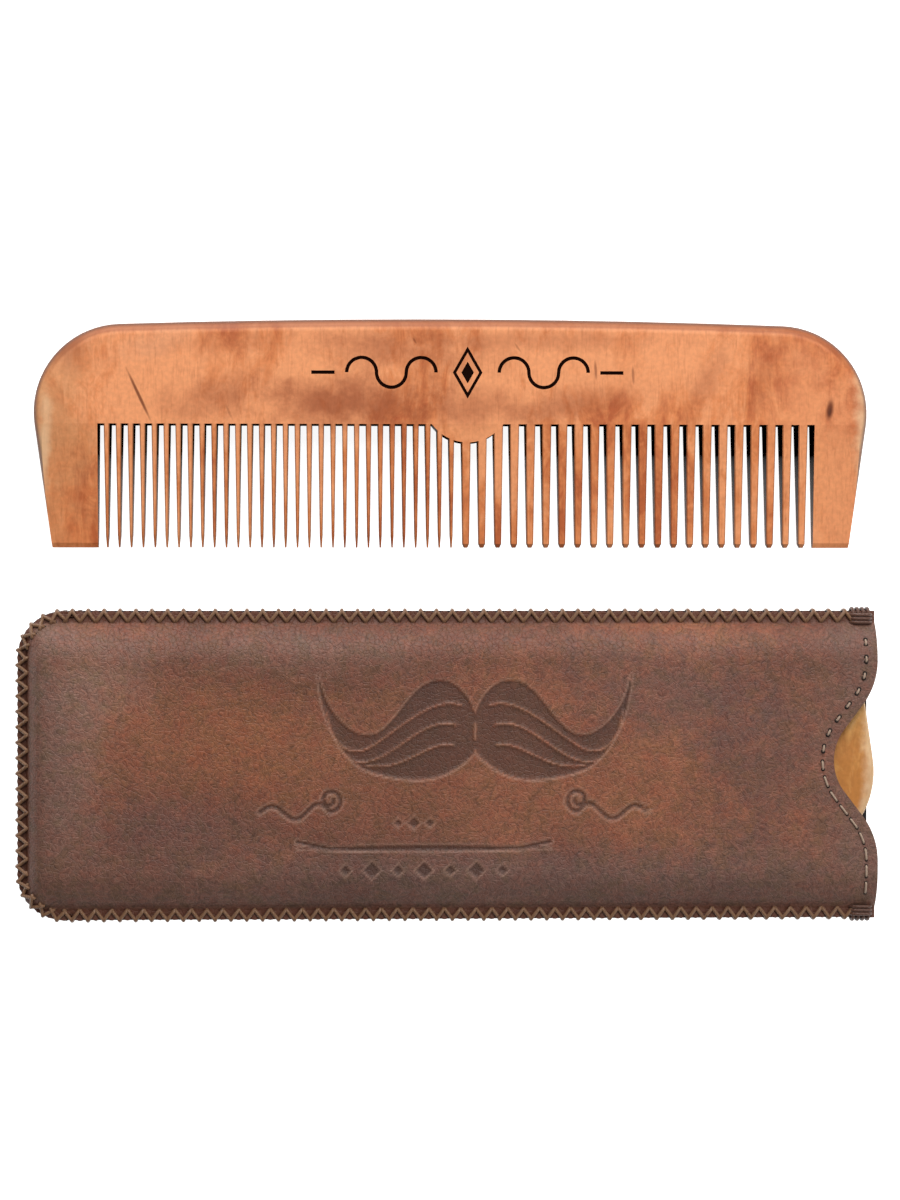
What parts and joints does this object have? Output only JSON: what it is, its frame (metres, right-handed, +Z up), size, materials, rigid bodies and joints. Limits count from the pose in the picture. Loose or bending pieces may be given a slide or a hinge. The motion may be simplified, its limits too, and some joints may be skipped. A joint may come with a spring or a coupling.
{
  "type": "wooden comb set with leather sleeve",
  "caption": "Flat wooden comb with fine and coarse teeth, lying beside a stitched leather sleeve that holds a second comb and has a thumb notch at its mouth.",
  "frame": {"origin": "centre of the set's footprint, on the surface it lies on", "axes": "+X along the combs towards the sleeve's mouth, +Y across them from the sleeve to the bare comb's spine, +Z up"},
  "size_m": [0.1854, 0.13, 0.0117],
  "materials": {
    "oiled_wood": "oiled peach wood",
    "pale_wood": "sanded pale wood",
    "leather": "waxed brown, fine grain",
    "lining": "matt black",
    "thread": "waxed brown thread",
    "mouth_thread": "waxed beige thread"
  },
  "bodies": {
    "sleeve": {"front_panel": "leather", "back_panel": "leather", "front_lining": "lining", "back_lining": "lining", "top_edge_stitches": "thread", "bottom_edge_stitches": "thread", "closed_end_stitches": "thread", "mouth_tack_top": "thread", "mouth_tack_bottom": "thread", "mouth_stitches": "mouth_thread"},
    "sleeved_comb": {"sleeved_comb": "pale_wood"},
    "bare_comb": {"bare_comb": "oiled_wood"}
  },
  "joints": [
    {"name": "comb_draw", "type": "slide", "parent": "sleeve", "child": "sleeved_comb", "axis": [1, 0, 0], "range_m": [0, 0.185]},
    {"name": "comb_lift", "type": "slide", "parent": "sleeve", "child": "bare_comb", "axis": [0, 0, 1], "range_m": [0, 0.06]}
  ]
}
